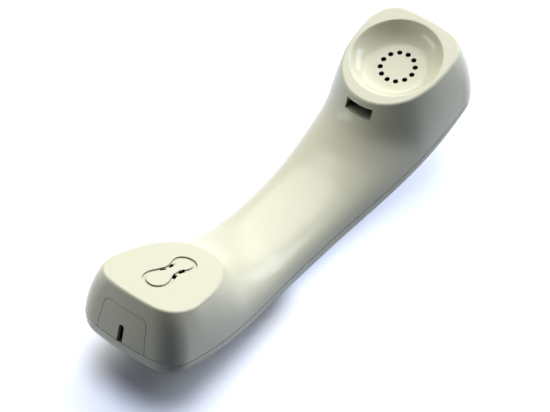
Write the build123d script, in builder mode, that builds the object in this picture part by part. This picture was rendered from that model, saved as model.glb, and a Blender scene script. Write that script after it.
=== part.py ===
from build123d import *
from math import cos, pi, radians, sin, sqrt, tan
import os

os.makedirs("parts", exist_ok=True)

# Frame
# The handset lies on its back. +X runs from the mouthpiece to the earpiece, +Y is across
# the handle and +Z is up. The origin is the middle of the bounding box's base.

# Driving dimensions of the body, in millimetres and degrees
overall_length = 205.2
ear_mouth_spacing = 145.0
mouth_setback = 33.0
waist_width = 39.0
mouth_width = 50.2
ear_width = 51.6
waist_shift = 6.0
mouth_reach = 76.0
ear_reach = 84.0
part_line_height = 8.0
part_line_radius = 243.0
part_gap = 0.35
back_radius = 232.0
belly_flat_depth = 0.4
section_power = 2.4
handle_top = 20.4
wall = 2.4
rear_wall = 2.2
corner_radius = 11.8
back_edge_radius = 5.6
face_edge_radius = 1.2
end_bulge_radius = 90.0
end_sag = 0.8
mouth_end_lean = 7.8
ear_end_lean = 5.6

# Mouthpiece face and its acoustic groove
mouth_face_height = 43.5
mouth_tilt = 19.2
mouth_neck = 21.0
mouth_neck_round = 60.0
groove_width = 1.7
groove_depth = 0.7
groove_left_tip = 15.6
groove_right_tip = 11.6
groove_left_lobe = (-10.3, 4.9)
groove_waist = (0.6, 2.6)
groove_right_lobe = (7.6, 4.1)
mic_slot_length = 3.0
mic_slot_width = 1.6
mic_slots = ((2.4, 2.65, 14), (-2.5, 2.85, -20), (2.4, -2.65, -14), (-2.5, -2.85, 20))

# Earpiece face and dish
ear_floor_height = 43.5
ear_tilt = 12.1
ear_neck = 25.9
ear_neck_round = 46.0
dish_radius = 19.6
dish_floor_radius = 10.5
dish_depth = 6.8
dish_wall = 2.0
dish_edge_radius = 0.6
ear_hole_ring_radius = 7.4
ear_hole_diameter = 2.3
ear_hole_count = 12

# Wall hook slot in the neck below the earpiece
hook_width = 13.0
hook_height = 5.0
hook_bottom = 37.1
hook_depth = 6.2
hook_wall = 1.5

# Cord cover in the mouth end
cover_top_width = 20.6
cover_bottom_width = 23.8
cover_height = 14.9
cover_corner_radius = 3.0
cover_thickness = 1.8
cover_clearance = 0.18
cord_slot_width = 2.6
cord_slot_height = 8.0
leg_offset = 9.0
leg_thickness = 1.6
leg_length = 9.0
leg_height = 6.0
leg_clearance = 0.3
leg_bump = 0.2
leg_root = 0.4

# Cord socket behind the cover
socket_width = 11.2
socket_height = 11.6
socket_length = 13.4
socket_front_gap = 4.4
socket_bottom = 25.6
socket_flange_width = 14.0
socket_flange_thickness = 1.6
seat_gap = 0.05
plug_width = 7.9
plug_height = 7.0
plug_depth = 10.0
latch_width = 3.4
latch_height = 1.2
contact_count = 4
contact_pitch = 1.27
contact_diameter = 0.46
contact_clearance = 0.1
contact_rise = 2.4
contact_bend = 0.6

# Case screws, bosses and the tongue between the shells
screw_x = 40.0
screw_diameter = 3.0
screw_length = 12.0
screw_head_diameter = 5.6
screw_head_height = 2.0
screw_point = 1.0
screw_clearance = 0.2
screw_bite = 0.05
drive_width = 0.9
drive_length = 3.4
drive_depth = 1.1
boss_radius = 3.5
rear_boss_radius = 4.6
head_seat_height = 3.4
tab_x = 22.0
tab_length = 7.0
tab_thickness = 1.6
tab_height = 2.4
tab_root = 3.5
tab_gap = 0.4
fit_gap = 0.15

# Steel weight in the handle
weight_length = 56.0
weight_width = 16.0
weight_height = 6.0
weight_shift = -6.0
weight_floor_gap = 0.3
weight_corner_radius = 2.0
post_diameter = 3.2
post_shoulder = 6.4
post_clearance = 0.15
post_spacing = 36.0
post_head_diameter = 5.4
post_head_height = 0.9

# Receiver capsule, measured along the ear axis from the dish floor
capsule_radius = 16.9
collar_gap = 0.3
collar_wall = 1.5
collar_depth = 8.0
cloth_thickness = 0.3
gasket_thickness = 1.2
gasket_inner_radius = 12.0
cap_thickness = 1.0
cap_skirt = 1.8
cap_wall = 1.4
cap_hole_diameter = 1.6
cap_hole_rings = ((4.0, 6), (8.5, 12))
frame_height = 5.9
frame_ledge_drop = 0.4
frame_ledge_width = 1.6
frame_floor = 1.8
frame_tube_wall = 1.4
vent_diameter = 2.2
vent_count = 6
vent_ring_radius = 12.2
diaphragm_clearance = 0.2
diaphragm_thickness = 0.25
dome_radius = 5.6
dome_rise = 0.8
diaphragm_travel = 0.35
coil_radius = 4.75
coil_thickness = 0.35
coil_length = 2.9
pole_drop = 1.3
pole_radius = 4.3
pole_thickness = 1.0
magnet_radius = 4.1
magnet_thickness = 2.2
yoke_bore_radius = 5.25
yoke_radius = 8.2
yoke_base = 1.4
yoke_gap = 0.1
terminal_size = (5.0, 14.0, 0.9)
terminal_offset = 12.0
terminal_turn = 30.0
varistor_diameter = 4.6
varistor_thickness = 1.2
foam_thickness = 4.0
foam_radius = 7.6
receiver_post_radius = 3.4
receiver_post_wall = 1.4

# Microphone, measured along the mouth axis from the face
mic_diameter = 9.7
mic_height = 6.5
boot_wall = 1.9
boot_front = 1.0
boot_window = 8.2
boot_overlap = 0.5
mic_boss_wall = 1.3
mic_boss_depth = 6.5
felt_thickness = 0.4
mic_board_diameter = 7.4
mic_board_thickness = 0.8
mic_hole_diameter = 2.0
mic_rim = 0.4

# Leads
lead_diameter = 1.2
lead_spacing = 1.3
lead_web = 0.5
lead_bend = 8.0
lead_y = -5.2
lead_socket_height = 3.0
lead_turn_x = -68.0
lead_drop_x = -51.0
lead_rise_x = 51.0
lead_end_length = 11.0
mic_lead_y = 2.4
mic_lead_bend = 3.0
mic_lead_end = 4.4
guide_places = (-31.0, -6.0, 30.0)
guide_thickness = 1.2
guide_side = 2.0

# Places worked out from the dimensions
half_length = overall_length / 2
mouth_x = mouth_setback - half_length
ear_x = mouth_x + ear_mouth_spacing
mouth_slope = tan(radians(mouth_tilt))
ear_slope = tan(radians(ear_tilt))
mouth_point = (mouth_x, 0, mouth_face_height)
ear_point = (ear_x, 0, ear_floor_height)
mouth_along = (cos(radians(mouth_tilt)), 0, -sin(radians(mouth_tilt)))
mouth_normal = (sin(radians(mouth_tilt)), 0, cos(radians(mouth_tilt)))
ear_along = (cos(radians(ear_tilt)), 0, sin(radians(ear_tilt)))
ear_normal = (-sin(radians(ear_tilt)), 0, cos(radians(ear_tilt)))
mouth_plane = Plane(origin=mouth_point, x_dir=mouth_along, z_dir=mouth_normal)
ear_plane = Plane(origin=ear_point, x_dir=ear_along, z_dir=ear_normal)
mouth_section = Plane(origin=mouth_point, x_dir=mouth_along, z_dir=(0, -1, 0))
ear_section = Plane(origin=ear_point, x_dir=ear_along, z_dir=(0, -1, 0))
mouth_axis = Axis(mouth_point, mouth_normal)
ear_axis = Axis(ear_point, ear_normal)
skin_base = -14.0
skin_margin = 8.4
tool_size = 60.0


def mouth_face_z(x):
    """Height of the flat mouthpiece face at x."""
    return mouth_face_height - (x - mouth_x) * mouth_slope


def ear_face_z(x):
    """Height of the flat earpiece face at x."""
    rim = ear_floor_height + dish_depth / cos(radians(ear_tilt))
    return rim + (x - ear_x) * ear_slope


def part_z(x):
    """Height of the parting line between the two shells at x."""
    return part_line_height + part_line_radius - sqrt(part_line_radius ** 2 - x * x)


def back_z(x):
    """Height of the curved back at x, before its belly is flattened."""
    return back_radius - belly_flat_depth - sqrt(back_radius ** 2 - x * x)


def half_width(x):
    """Half of the body's width on the parting line at x."""
    if x < 0:
        share = min(max((-x - waist_shift) / mouth_reach, 0), 1)
        head = mouth_width
    else:
        share = min(x / ear_reach, 1)
        head = ear_width
    return (waist_width + (head - waist_width) * (1 - cos(pi * share)) / 2) / 2


def blend(x, start, end):
    """Smooth step from 0 at start to 1 at end."""
    share = min(max((x - start) / (end - start), 0), 1)
    return share * share * (3 - 2 * share)


# The crown's height along the handle: distance from each neck, share of the neck's height
mouth_neck_x = mouth_x + mouth_neck
ear_neck_x = ear_x - ear_neck
mouth_rise = mouth_face_z(mouth_neck_x) - handle_top
ear_rise = ear_face_z(ear_neck_x) - handle_top
mouth_shares = ((-63, 2.18), (-54, 2.21), (-47, 2.27), (-41, 2.43), (-36, 2.55), (-31, 2.58), (-26, 2.42),
                (-21, 2.2), (-11, 1.76), (-5, 1.37), (0, 1.0), (2.6, 0.77), (6.1, 0.55), (11, 0.37),
                (19, 0.18), (29, 0.05), (39, 0.0))
ear_shares = ((-49, 0.0), (-39, 0.02), (-29, 0.08), (-21.4, 0.16), (-14.4, 0.27), (-9.4, 0.38),
              (-5.4, 0.51), (-2.4, 0.69), (0, 1.0), (2.6, 1.3), (6.6, 1.6), (10.6, 1.8), (18, 1.94),
              (27, 2.0), (33, 2.0), (38, 1.9), (42, 1.78), (46, 1.68), (52, 1.6), (64, 1.55))
crown_line = [(mouth_neck_x + away, handle_top + share * mouth_rise) for away, share in mouth_shares]
crown_line += [(ear_neck_x + away, handle_top + share * ear_rise) for away, share in ear_shares]


def crown_slope(k):
    """Slope of the crown line at its station k."""
    last = len(crown_line) - 1
    before, after = crown_line[max(k - 1, 0)], crown_line[min(k + 1, last)]
    here = crown_line[k]
    if k in (0, last):
        return (after[1] - before[1]) / (after[0] - before[0])
    left = (here[1] - before[1]) / (here[0] - before[0])
    right = (after[1] - here[1]) / (after[0] - here[0])
    return (left * (after[0] - here[0]) + right * (here[0] - before[0])) / (after[0] - before[0])


def crown_z(x):
    """Height of the crown line at x, smooth through its stations."""
    k = max(i for i in range(len(crown_line) - 1) if i == 0 or crown_line[i][0] <= x)
    low, high = crown_line[k], crown_line[k + 1]
    span = high[0] - low[0]
    t = (x - low[0]) / span
    rise = low[1] + (high[1] - low[1]) * t * t * (3 - 2 * t)
    return rise + span * t * (1 - t) * ((1 - t) * crown_slope(k) - t * crown_slope(k + 1))


def skin_point(place, angle):
    """Point of the front's outer skin, from the -Y parting line at 0 over the crown to 180."""
    turn = radians(angle)
    across = -abs(cos(turn)) ** (2 / section_power) * (1 if angle < 90 else -1)
    height = max(sin(turn), 0) ** (2 / section_power)
    y = half_width(place) * across
    to_ear = blend(place, 12, ear_neck_x - 3) * (1 - blend(place, ear_neck_x + 6, ear_neck_x + 44))
    to_mouth = blend(-place, 12, -mouth_neck_x - 1) * (1 - blend(-place, 8 - mouth_neck_x, 44 - mouth_neck_x))
    x = place + y * y * (to_ear / ear_neck_round - to_mouth / mouth_neck_round)
    rise = crown_z(place) - part_z(place)
    return Vector(x, half_width(x) * across, part_z(x) + rise * height)


def skin_normal(place, angle):
    """Outward normal of the front's skin."""
    along = skin_point(place + 0.05, angle) - skin_point(place - 0.05, angle)
    over = skin_point(place, min(angle + 0.2, 180)) - skin_point(place, max(angle - 0.2, 0))
    return along.cross(over).normalized()


def skin_points(place, inset):
    """Points around one section of the front's skin, drawn in by inset, from base to base."""
    half = [0, 8, 16, 25, 34, 44, 54, 66, 78]
    angles = half + [90] + [180 - angle for angle in reversed(half)]
    lean = 1 - blend(abs(place), half_length - 22, half_length - 8)
    over = []
    for a in angles:
        out = skin_normal(place, a)
        over.append(skin_point(place, a) - Vector(out.X * lean, out.Y, out.Z).normalized() * inset)

    def leg(foot):
        depths = (skin_base, (skin_base + foot.Z) / 2, foot.Z - 4)
        return [Vector(foot.X, foot.Y, z) for z in depths]

    return leg(over[0]) + over + leg(over[-1])[::-1]


def spacing():
    """Share of the way round at each point, the same for every section so that they match."""
    points = skin_points(ear_neck_x, 0)
    steps = [0]
    for here, after in zip(points, points[1:]):
        steps.append(steps[-1] + (after - here).length)
    return [step / steps[-1] for step in steps]


def skin_section(place, inset, shares):
    """Closed section of the front's skin, carried down past the parting line."""
    points = skin_points(place, inset)
    return Wire([Edge.make_spline(points, parameters=shares), Edge.make_line(points[-1], points[0])])


def skin_places():
    """Places of the sections along the handset, closer together at the necks."""
    places = [-half_length - skin_margin]
    while places[-1] < half_length + skin_margin:
        here = places[-1]
        near = min(abs(here - mouth_neck_x), abs(here - ear_neck_x))
        places.append(here + (3 if near < 12 else 6))
    return places


def end_wall(lean, top, inset):
    """What lies outside the end wall on the +X side: an arc in profile, bulged in plan."""
    foot = Vector(half_length, part_z(half_length))
    chord = Vector(half_length - lean, top) - foot
    radius = chord.length ** 2 / (8 * end_sag) + end_sag / 2
    outward = Vector(chord.Y, -chord.X).normalized()
    centre = foot + chord * 0.5 - outward * (radius - end_sag)
    pivot = half_length - end_bulge_radius
    low, high = foot.Y - 12.5, top + 12

    def wall_x(z):
        return centre.X + sqrt((radius - inset) ** 2 - (z - centre.Y) ** 2)

    deep = 2 * skin_base
    tall = high + 4
    profile = [(pivot - wall_x(z), z) for z in (low, (low + tall) / 2, tall)]
    with BuildPart() as outside:
        with Locations((half_length + 10, 0, (high + deep) / 2)):
            Box(80, 2 * tool_size, high - deep)
        with BuildSketch(Plane(origin=(pivot, 0, 0), x_dir=(1, 0, 0), z_dir=(0, -1, 0))):
            with BuildLine():
                arc = ThreePointArc(*profile)
                Polyline(arc @ 1, (0, tall), (0, deep - 5), (profile[0][0], deep - 5), arc @ 0)
            make_face()
        revolve(axis=Axis((pivot, 0, 0), (0, 0, 1)), mode=Mode.SUBTRACT)
    return outside.part


def mouth_end(inset):
    """What lies outside the mouth end wall."""
    top = mouth_face_z(mouth_end_lean - half_length)
    return end_wall(mouth_end_lean, top, inset).mirror(Plane.YZ)


def ear_end(inset):
    """What lies outside the ear end wall."""
    return end_wall(ear_end_lean, ear_face_z(half_length - ear_end_lean), inset)


def part_arc(shift):
    """Arc of the parting line in the side view, moved up by shift."""
    reach = half_length + skin_margin
    return ThreePointArc(
        (-reach, part_z(reach) + shift), (0, part_z(0) + shift), (reach, part_z(reach) + shift))


def below_part_line(shift):
    """Everything below the parting line moved up by shift."""
    with BuildPart() as region:
        with BuildSketch(Plane.XZ):
            with BuildLine():
                arc = part_arc(shift)
                low = 2 * skin_base
                Polyline(arc @ 1, ((arc @ 1).X, low), ((arc @ 0).X, low), arc @ 0)
            make_face()
        extrude(amount=tool_size, both=True)
    return region.part


def front_form(inset, foot):
    """The front's solid form: lofted skin, two flat faces, two end walls and rounded corners.

    It ends below at the parting line moved up by foot.
    """
    shares = spacing()
    skin = Solid.make_loft([skin_section(place, inset, shares) for place in skin_places()])
    mouth_stop = mouth_neck_x + 13
    ear_stop = ear_neck_x - 13
    mouth_drop = inset / cos(radians(mouth_tilt))
    ear_drop = inset / cos(radians(ear_tilt))
    far = 2 * half_length
    roof = 3 * tool_size
    with BuildPart() as form:
        add(skin)
        add(mouth_end(inset), mode=Mode.SUBTRACT)
        add(ear_end(inset), mode=Mode.SUBTRACT)
        with BuildSketch(Plane.XZ):
            with BuildLine():
                Polyline(
                    (-far, 2 * skin_base), (-far, mouth_face_z(-far) - mouth_drop),
                    (mouth_stop, mouth_face_z(mouth_stop) - mouth_drop), (mouth_stop, roof),
                    (ear_stop, roof), (ear_stop, ear_face_z(ear_stop) - ear_drop),
                    (far, ear_face_z(far) - ear_drop), (far, 2 * skin_base), close=True)
            make_face()
        extrude(amount=tool_size, both=True, mode=Mode.INTERSECT)
        add(below_part_line(foot), mode=Mode.SUBTRACT)
        corners = [
            e for e in form.edges()
            if abs(e.center().X) > half_length - 12 and abs(e.center().Y) > 15
            and e.bounding_box().size.Z > 12 and e.bounding_box().max.Z > part_z(half_length)]
        fillet(corners, corner_radius - inset)
    return form.part


def plan_outline(inset):
    """Outline of the body on the parting line, seen from above, drawn in by inset."""
    places = [-half_length - 8 + k * (overall_length + 16) / 24 for k in range(25)]
    side = [(x, half_width(x) - inset) for x in places]
    pivot = half_length - end_bulge_radius
    with BuildSketch() as beyond:
        with Locations((half_length, 0)):
            Rectangle(tool_size, 2 * tool_size)
        with Locations((pivot, 0)):
            Circle(end_bulge_radius - inset, mode=Mode.SUBTRACT)
    with BuildSketch() as outline:
        with BuildLine():
            left = Spline(*side)
            right = Spline(*[(x, -y) for x, y in side])
            Line(left @ 0, right @ 0)
            Line(left @ 1, right @ 1)
        make_face()
        add(beyond.sketch, mode=Mode.SUBTRACT)
        add(beyond.sketch.mirror(Plane.YZ), mode=Mode.SUBTRACT)
        fillet(outline.vertices(), corner_radius - inset)
    return outline.sketch


def back_arc(shift):
    """Arc of the curved back in the side view, moved up by shift."""
    reach = half_length + skin_margin
    return ThreePointArc(
        (-reach, back_z(reach) + shift), (0, back_z(0) + shift), (reach, back_z(reach) + shift))


def above_back(shift):
    """Everything above the curved back moved up by shift."""
    with BuildPart() as region:
        with BuildSketch(Plane.XZ):
            with BuildLine():
                arc = back_arc(shift)
                Polyline(arc @ 1, ((arc @ 1).X, tool_size), ((arc @ 0).X, tool_size), arc @ 0)
            make_face()
        extrude(amount=tool_size, both=True)
    return region.part


def rear_form(inset, floor, top, rounding):
    """The rear's solid form: the plan outline between the curved back and the parting line.

    The plan is drawn in by inset, and the two arcs are moved up by floor and top.
    """
    with BuildPart() as form:
        with BuildSketch(Plane.XY.offset(skin_base)):
            add(plan_outline(inset))
        extrude(amount=tool_size)
        with BuildSketch(Plane.XZ):
            with BuildLine():
                upper = part_arc(top)
                lower = back_arc(floor)
                Line(upper @ 0, lower @ 0)
                Line(upper @ 1, lower @ 1)
            make_face()
        extrude(amount=tool_size, both=True, mode=Mode.INTERSECT)
        base = form.faces().sort_by(lambda f: f.center().Z)[0]
        fillet(base.edges(), rounding)
    return form.part


def band(inner, outer, low, high):
    """Rectangle from inner to outer radius and from low to high, for a revolved piece."""
    with Locations(((inner + outer) / 2, (low + high) / 2)):
        Rectangle(outer - inner, high - low)


def block(low, high, mode=Mode.ADD):
    """Box between two corners."""
    middle = [(a + b) / 2 for a, b in zip(low, high)]
    with Locations(tuple(middle)):
        Box(*[b - a for a, b in zip(low, high)], mode=mode)


def groove_outline(grow):
    """Closed peanut outline with two round lobes, grown by grow on every side."""
    tips = (-groove_left_tip - grow, groove_right_tip + grow)
    tops = [(x, y + grow) for x, y in (groove_left_lobe, groove_waist, groove_right_lobe)]
    shoulders = [
        (x + (tip - x) * cos(pi / 4), y * sin(pi / 4)) for tip, (x, y) in zip(tips, (tops[0], tops[2]))]
    upper = [shoulders[0], *tops, shoulders[1]]
    lower = [(x, -y) for x, y in reversed(upper)]
    with BuildSketch() as outline:
        with BuildLine():
            Spline((tips[0], 0), *upper, (tips[1], 0), *lower, periodic=True)
        make_face()
    return outline.sketch


def cover_outline(grow):
    """Outline of the cord cover seen from the end, grown by grow."""
    foot = part_z(half_length)
    top, bottom = cover_top_width / 2 + grow, cover_bottom_width / 2 + grow
    drop = 6
    flare = drop * (bottom - top) / cover_height
    with BuildSketch(Plane.YZ) as outline:
        with BuildLine():
            Polyline(
                (-bottom - flare, foot - drop), (-top, foot + cover_height + grow),
                (top, foot + cover_height + grow), (bottom + flare, foot - drop), close=True)
        make_face()
        fillet(outline.vertices().sort_by(Axis.Y)[-2:], cover_corner_radius + grow)
    return outline.sketch


front_outer = front_form(0, part_gap / 2)
front_inner = front_form(wall, 0)

# Depths along the ear axis, from the dish floor down
landing = -dish_wall
cloth_low = landing - cloth_thickness
gasket_low = landing - gasket_thickness
cap_low = gasket_low - cap_thickness
skirt_low = cap_low - cap_skirt
frame_low = skirt_low - frame_height
ledge_level = skirt_low - frame_ledge_drop
diaphragm_low = ledge_level + diaphragm_travel
pole_top = diaphragm_low - pole_drop
magnet_top = pole_top - pole_thickness
yoke_floor = magnet_top - magnet_thickness
yoke_low = yoke_floor - yoke_base
terminal_low = frame_low - terminal_size[2]
foam_low = yoke_low - foam_thickness
cap_inner_radius = capsule_radius - cap_wall
diaphragm_radius = cap_inner_radius - diaphragm_clearance

# Depths along the mouth axis, from the face down
mic_landing = -wall
boot_top = mic_landing - cloth_thickness
window_low = boot_top - boot_front
mic_low = window_low - mic_height
boot_low = mic_low - boot_overlap
boot_radius = mic_diameter / 2 + boot_wall
mic_boss_inner = boot_radius + fit_gap

# The weight and the leads that lie on it
weight_low = back_z(abs(weight_shift) + weight_length / 2) + rear_wall + weight_floor_gap
weight_top = weight_low + weight_height
lead_run_z = weight_top + fit_gap + lead_diameter / 2

# Places of the socket and the cover's legs
socket_front = -half_length + socket_front_gap
socket_back = socket_front + socket_length
socket_top = socket_bottom + socket_height
plug_bottom = socket_bottom + (socket_height - plug_height) / 2
leg_bottom = part_z(half_length) + 2.5
leg_tip = -half_length + cover_thickness + leg_length

# Places of the case screws
seat_z = back_z(screw_x) + head_seat_height
screw_tip = seat_z + screw_length
boss_foot = part_z(screw_x) + seat_gap / 2
guide_reach = lead_spacing / 2 + lead_diameter / 2 + fit_gap + guide_side

# Front shell: skin, faces, dish, groove, bosses and ribs
with BuildPart() as front_shell:
    add(front_outer)
    flats = [f for f in front_shell.faces().filter_by(GeomType.PLANE) if f.normal_at().Z > 0.8]
    fillet([e for f in flats for e in f.edges()], face_edge_radius)
    add(front_inner, mode=Mode.SUBTRACT)
    skin_shell = front_shell.part

with BuildPart() as front_fittings:
    # Pad behind the dish, with the collar that holds the receiver
    with BuildSketch(ear_section):
        with BuildLine():
            bowl_top = dish_depth - wall / 2
            bowl_outer = capsule_radius + collar_gap + collar_wall
            Polyline(
                (0, landing), (capsule_radius + collar_gap, landing),
                (capsule_radius + collar_gap, -collar_depth), (bowl_outer, -collar_depth),
                (bowl_outer, 0.5), (dish_radius + 1.4, dish_depth - wall), (dish_radius + 1.4, bowl_top),
                (0, bowl_top), close=True)
        make_face()
    revolve(axis=ear_axis)
    # Ring that holds the microphone boot
    with BuildSketch(mouth_section):
        band(
            mic_boss_inner, mic_boss_inner + mic_boss_wall, mic_landing - mic_boss_depth,
            mic_landing + wall / 2)
    revolve(axis=mouth_axis)
    # Pocket of the wall hook slot
    block(
        (ear_neck_x - 4, -hook_width / 2 - hook_wall, hook_bottom - hook_wall),
        (ear_neck_x + hook_depth + hook_wall, hook_width / 2 + hook_wall,
         hook_bottom + hook_height + hook_wall))
    # Screw bosses
    for x in (-screw_x, screw_x):
        with BuildSketch(Plane.XY.offset(boss_foot)):
            with Locations((x, 0)):
                Circle(boss_radius)
        extrude(amount=crown_z(x) - boss_foot - wall / 2)
    # Guide ribs beside the cover's legs, and the rib over the socket
    rib_roof = mouth_face_z(leg_tip) - wall / 2
    for side in (-1, 1):
        inner = side * (leg_offset + leg_thickness / 2 + leg_clearance)
        outer = inner + side * leg_thickness
        block(
            (socket_front + 1.2, min(inner, outer), leg_bottom),
            (leg_tip, max(inner, outer), rib_roof))
    block(
        (socket_front + 4, -socket_width / 2, socket_top + fit_gap),
        (socket_front + 4 + leg_thickness, socket_width / 2, rib_roof))
    # Guides that hold the receiver lead down on the weight
    for x in guide_places:
        block(
            (x - guide_thickness / 2, lead_y - guide_reach, weight_top + seat_gap + fit_gap),
            (x + guide_thickness / 2, lead_y + guide_reach, crown_z(x) - wall / 2))
        block(
            (x - guide_thickness, lead_y - guide_reach + guide_side, 0),
            (x + guide_thickness, lead_y + guide_reach - guide_side,
             lead_run_z + lead_diameter / 2 + fit_gap),
            mode=Mode.SUBTRACT)
    add(front_outer, mode=Mode.INTERSECT)
    # Foot of each screw boss, flat where it meets the rear shell's boss
    for x in (-screw_x, screw_x):
        with BuildSketch(Plane.XY.offset(boss_foot)):
            with Locations((x, 0)):
                Circle(boss_radius)
        extrude(amount=3)

with BuildPart() as front_shell:
    add(skin_shell)
    add(front_fittings.part)
    # Dish with its rounded bowl
    dish_bowl_radius = ((dish_radius - dish_floor_radius) ** 2 + dish_depth ** 2) / (2 * dish_depth)
    bowl_drop = dish_bowl_radius - sqrt(dish_bowl_radius ** 2 - ((dish_radius - dish_floor_radius) / 2) ** 2)
    bowl_middle = ((dish_radius + dish_floor_radius) / 2, bowl_drop)
    with BuildSketch(ear_section):
        with BuildLine():
            bowl = ThreePointArc((dish_floor_radius, 0), bowl_middle, (dish_radius, dish_depth))
            Polyline(bowl @ 1, (dish_radius, dish_depth + 3), (0, dish_depth + 3), (0, 0), bowl @ 0)
        make_face()
    revolve(axis=ear_axis, mode=Mode.SUBTRACT)
    rim = [
        e for e in front_shell.edges().filter_by(GeomType.CIRCLE)
        if abs(e.radius - dish_radius) < 0.01
        and abs(ear_plane.to_local_coords(e.center()).Z - dish_depth) < 0.1]
    fillet(rim, dish_edge_radius)
    # Ear holes in a ring
    with BuildSketch(ear_plane.offset(1)):
        with PolarLocations(ear_hole_ring_radius, ear_hole_count):
            Circle(ear_hole_diameter / 2)
    extrude(amount=-2 * dish_wall - 1, mode=Mode.SUBTRACT)
    # Acoustic groove and its slots
    with BuildSketch(mouth_plane):
        add(groove_outline(groove_width / 2))
        add(groove_outline(-groove_width / 2), mode=Mode.SUBTRACT)
    extrude(amount=groove_depth, both=True, mode=Mode.SUBTRACT)
    with BuildSketch(mouth_plane):
        for u, v, turn in mic_slots:
            with Locations(Location((u, v, 0), (0, 0, turn))):
                Rectangle(mic_slot_length, mic_slot_width)
    extrude(amount=-wall - 0.5, mode=Mode.SUBTRACT)
    # Wall hook slot
    block(
        (ear_neck_x - 8, -hook_width / 2, hook_bottom),
        (ear_neck_x + hook_depth, hook_width / 2, hook_bottom + hook_height), mode=Mode.SUBTRACT)
    # Screw pilot holes
    with BuildSketch(Plane.XY.offset(boss_foot)):
        with Locations((-screw_x, 0), (screw_x, 0)):
            Circle(screw_diameter / 2 + screw_bite)
    extrude(amount=screw_tip - boss_foot + 0.5, mode=Mode.SUBTRACT)
    # Opening for the cord cover
    extrude(
        Location((-half_length - 10, 0, 0)) * cover_outline(cover_clearance),
        amount=10 + mouth_end_lean + 1.2, dir=(1, 0, 0), mode=Mode.SUBTRACT)
front_shell.part.label = "front_shell"
export_step(front_shell.part, "parts/front_shell.step")

# Rear shell: back, counterbored bosses, weight posts, socket rest, receiver post and tabs
rear_outer = rear_form(0, 0, -part_gap / 2, back_edge_radius)
rear_inner = rear_form(rear_wall, rear_wall, part_line_height, back_edge_radius - rear_wall)
with BuildPart() as rear_fittings:
    # Bosses that the case screws pass through
    for x in (-screw_x, screw_x):
        with Locations(Location((x, 0, back_z(screw_x)))):
            Cylinder(
                rear_boss_radius, head_seat_height + 1.6,
                align=(Align.CENTER, Align.CENTER, Align.MIN))
            Cylinder(
                boss_radius, part_z(screw_x) - seat_gap / 2 - back_z(screw_x),
                align=(Align.CENTER, Align.CENTER, Align.MIN))
    # Rest under the cord socket
    for x in (socket_front + 3, socket_back - 4):
        block((x, -4, part_line_height), (x + leg_thickness, 4, socket_bottom - seat_gap))
    # Shoulders, pins and formed heads that hold the weight
    for side in (-1, 1):
        with Locations(Location((weight_shift + side * post_spacing / 2, 0, 0.5))):
            Cylinder(
                post_shoulder / 2, weight_low - seat_gap - 0.5,
                align=(Align.CENTER, Align.CENTER, Align.MIN))
            Cylinder(
                post_diameter / 2, weight_top + post_head_height - 0.5,
                align=(Align.CENTER, Align.CENTER, Align.MIN))
        with Locations(Location((weight_shift + side * post_spacing / 2, 0, weight_top + seat_gap))):
            Cylinder(
                post_head_diameter / 2, post_head_height,
                align=(Align.CENTER, Align.CENTER, Align.MIN))
    # Tabs that locate the front shell's rim from inside
    for x in (-tab_x, tab_x):
        for side in (-1, 1):
            edge = min(half_width(x - tab_length / 2), half_width(x + tab_length / 2))
            outer = edge - wall - tab_gap
            low, high = sorted((side * outer, side * (outer - tab_thickness)))
            block(
                (x - tab_length / 2, low, part_z(x) - tab_root),
                (x + tab_length / 2, high, part_z(x) + tab_height))
            low, high = sorted((side * (edge - rear_wall / 2), side * (outer - tab_thickness)))
            block(
                (x - tab_length / 2, low, part_z(x) - tab_root),
                (x + tab_length / 2, high, part_z(x) - 1))
    # Ring post under the receiver's foam pad, cut to the receiver's tilt
    foam_seat = ear_plane.offset(foam_low - seat_gap)
    with Locations(Location((foam_seat.origin.X, 0, back_z(ear_x)))):
        Cylinder(receiver_post_radius, tool_size / 2, align=(Align.CENTER, Align.CENTER, Align.MIN))
    with BuildSketch(foam_seat):
        Rectangle(tool_size, tool_size)
    extrude(amount=tool_size, mode=Mode.SUBTRACT)
    add(above_back(rear_wall / 2), mode=Mode.INTERSECT)
with BuildPart() as rear_shell:
    add(rear_outer)
    add(rear_inner, mode=Mode.SUBTRACT)
    add(rear_fittings.part)
    # Flat of the belly that the handset rests on
    block((-tool_size, -tool_size, -5), (tool_size, tool_size, 0), mode=Mode.SUBTRACT)
    # Screw holes with their counterbores from the back
    for x in (-screw_x, screw_x):
        with Locations(Location((x, 0, seat_z))):
            Cylinder(
                screw_head_diameter / 2 + screw_clearance, 2 * head_seat_height,
                align=(Align.CENTER, Align.CENTER, Align.MAX), mode=Mode.SUBTRACT)
            Cylinder(
                screw_diameter / 2 + screw_clearance, tool_size / 2,
                align=(Align.CENTER, Align.CENTER, Align.MIN), mode=Mode.SUBTRACT)
    # Bore of the receiver post
    with Locations(Location((foam_seat.origin.X, 0, back_z(ear_x) + rear_wall))):
        Cylinder(
            receiver_post_radius - receiver_post_wall, tool_size / 2,
            align=(Align.CENTER, Align.CENTER, Align.MIN), mode=Mode.SUBTRACT)
rear_shell.part.label = "rear_shell"
export_step(rear_shell.part, "parts/rear_shell.step")

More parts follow.
